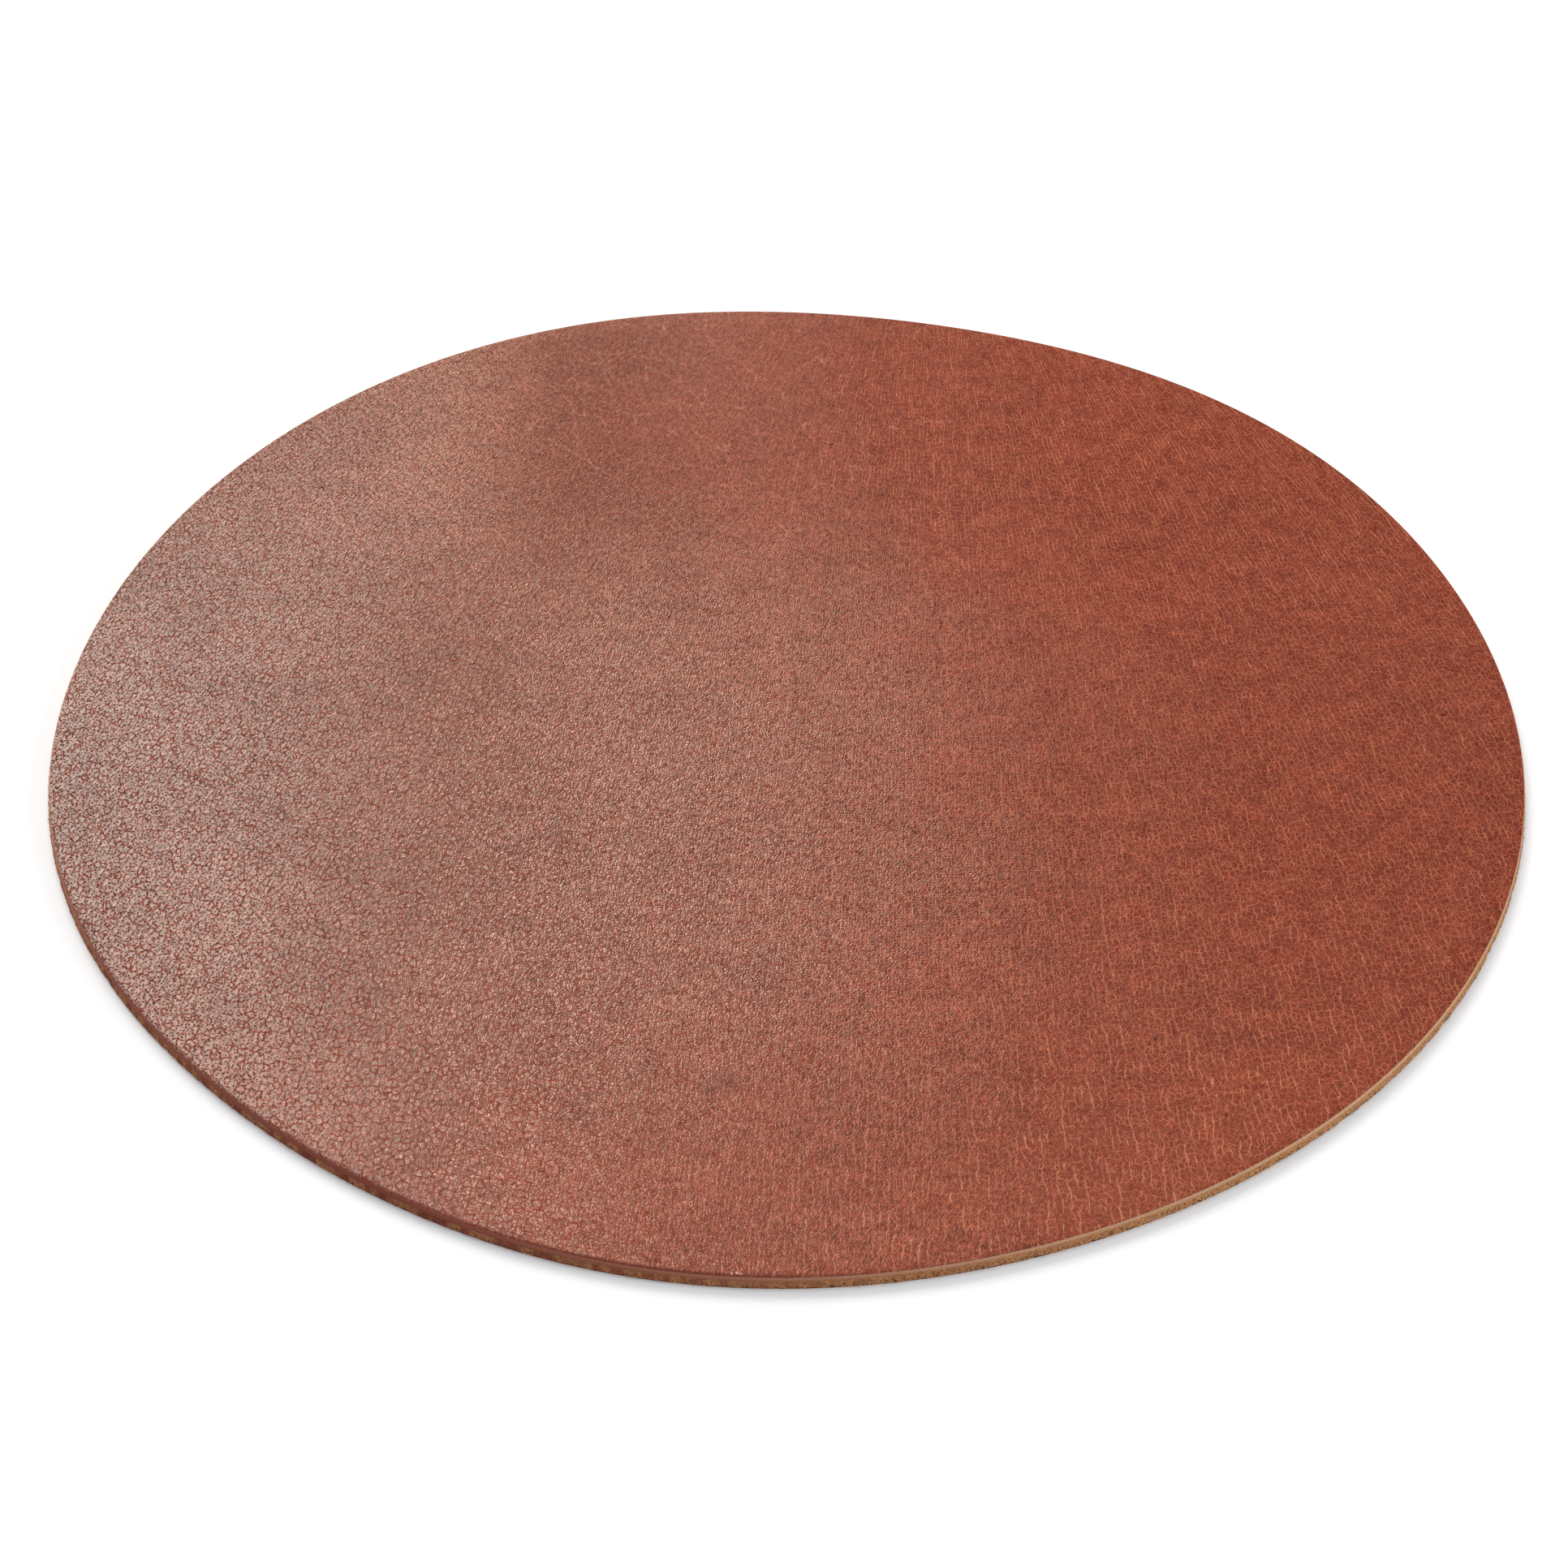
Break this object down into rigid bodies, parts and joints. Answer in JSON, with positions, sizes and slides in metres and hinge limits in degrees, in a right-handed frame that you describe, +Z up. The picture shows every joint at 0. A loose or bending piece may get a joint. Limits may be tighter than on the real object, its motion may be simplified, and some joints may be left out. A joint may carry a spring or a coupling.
{
  "type": "mouse pad",
  "caption": "Round raw-edged leather mouse pad, a hand-cut disc of waxed reddish-brown grain leather that lies flesh side down as a gliding surface.",
  "frame": {"origin": "on the resting plane, under the middle of the outline's extents", "axes": "+Z up out of the grain face, +X to the right and +Y away from the viewer in the picture"},
  "size_m": [0.2604, 0.2604, 0.0027],
  "materials": {
    "grain_leather": "waxed pull-up grain, semi-matte, lighter in the creases",
    "flesh_leather": "raw undyed fibre, matte, napped underneath"
  },
  "bodies": {
    "root": {"grain_layer": "grain_leather", "flesh_layer": "flesh_leather"}
  },
  "joints": []
}
